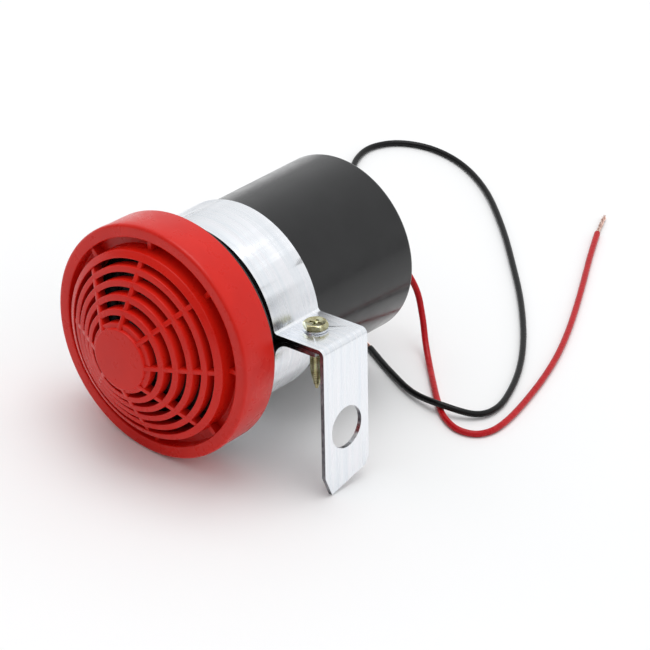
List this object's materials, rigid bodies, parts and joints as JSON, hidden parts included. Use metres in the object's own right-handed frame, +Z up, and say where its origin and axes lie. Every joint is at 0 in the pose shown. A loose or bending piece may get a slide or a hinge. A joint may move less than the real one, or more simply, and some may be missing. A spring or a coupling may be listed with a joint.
{
  "type": "alarm siren",
  "caption": "Round electronic alarm siren with a slotted red dome cap, a black cup, a strip clamp with a drilled mounting leg, and two bare-ended leads.",
  "frame": {"origin": "on the surface that the siren lies on, under the centre of its box without the leads", "axes": "+Z up, +Y to the rear along the siren's axis, +X to the mounting leg's side"},
  "size_m": [0.1207, 0.2046, 0.066],
  "materials": {
    "red_plastic": "satin gloss moulded ABS",
    "black_plastic": "satin gloss moulded ABS",
    "black_foam": "open-cell foam",
    "black_rubber": "matt rubber",
    "zinc_steel": "bright zinc plate, finely brushed",
    "yellow_zinc": "yellow passivated zinc plate",
    "washer_steel": "bright zinc plate",
    "basket_steel": "pressed and plated sheet",
    "brown_phenolic": "paper laminate",
    "tinned_brass": "tinned brass",
    "plated_steel": "zinc plate",
    "ferrite": "sintered ferrite",
    "black_cloth": "doped cloth",
    "tan_cloth": "resin-set cloth",
    "black_film": "formed film",
    "kraft_paper": "kraft paper tube",
    "copper": "bare copper",
    "green_board": "solder mask over laminate",
    "black_epoxy": "moulded epoxy",
    "blue_sleeve": "shrunk sleeve",
    "tan_ceramic": "dipped coating",
    "grey_pvc": "PVC insulation",
    "black_pvc": "PVC insulation",
    "red_pvc": "PVC insulation"
  },
  "bodies": {
    "siren": {"front_grille": "red_plastic", "foam_gasket": "black_foam", "housing": "black_plastic", "wire_grommet": "black_rubber", "speaker_basket": "basket_steel", "terminal_strip": "brown_phenolic", "terminal_lugs": "tinned_brass", "top_plate": "plated_steel", "magnet": "ferrite", "yoke": "plated_steel", "surround": "black_cloth", "spider": "tan_cloth", "tinsel_leads": "copper", "circuit_board": "green_board", "sound_chip": "black_epoxy", "power_transistors": "black_epoxy", "filter_capacitor": "blue_sleeve", "timing_capacitors": "tan_ceramic", "resistors": "tan_ceramic", "diode": "black_epoxy", "board_screws": "plated_steel", "speaker_leads": "grey_pvc", "power_leads": "red_pvc", "black_wire": "black_pvc", "black_wire_tip": "copper", "red_wire": "red_pvc", "red_wire_tip": "copper"},
    "diaphragm": {"cone": "black_film", "dust_cap": "black_film", "coil_former": "kraft_paper", "voice_coil": "copper"},
    "bracket": {"clamp_bracket": "zinc_steel"},
    "washer": {"lock_washer": "washer_steel"},
    "screw": {"clamp_screw": "yellow_zinc"}
  },
  "joints": [
    {"name": "bracket_swing", "type": "hinge", "parent": "siren", "child": "bracket", "pos_m": [-0.00801, -0.0048, 0.033], "axis": [0, 1, 0], "continuous": true},
    {"name": "screw_lift", "type": "slide", "parent": "bracket", "child": "washer", "axis": [-0.1564, 0, 0.9877], "range_m": [0, 0.012]},
    {"name": "screw_turn", "type": "hinge", "parent": "washer", "child": "screw", "pos_m": [0.0241, -0.0048, 0.0425], "axis": [-0.1564, 0, 0.9877], "range_deg": [0, 7201]},
    {"name": "diaphragm_stroke", "type": "slide", "parent": "siren", "child": "diaphragm", "axis": [0, 1, 0], "range_m": [-0.0005, 0.0005], "stiffness_N_per_m": 1500, "deforming": ["surround", "spider", "tinsel_leads"]}
  ],
  "couplings": [
    {"joint": "screw_turn", "follows": "screw_lift", "rad_per_m": 10472}
  ]
}
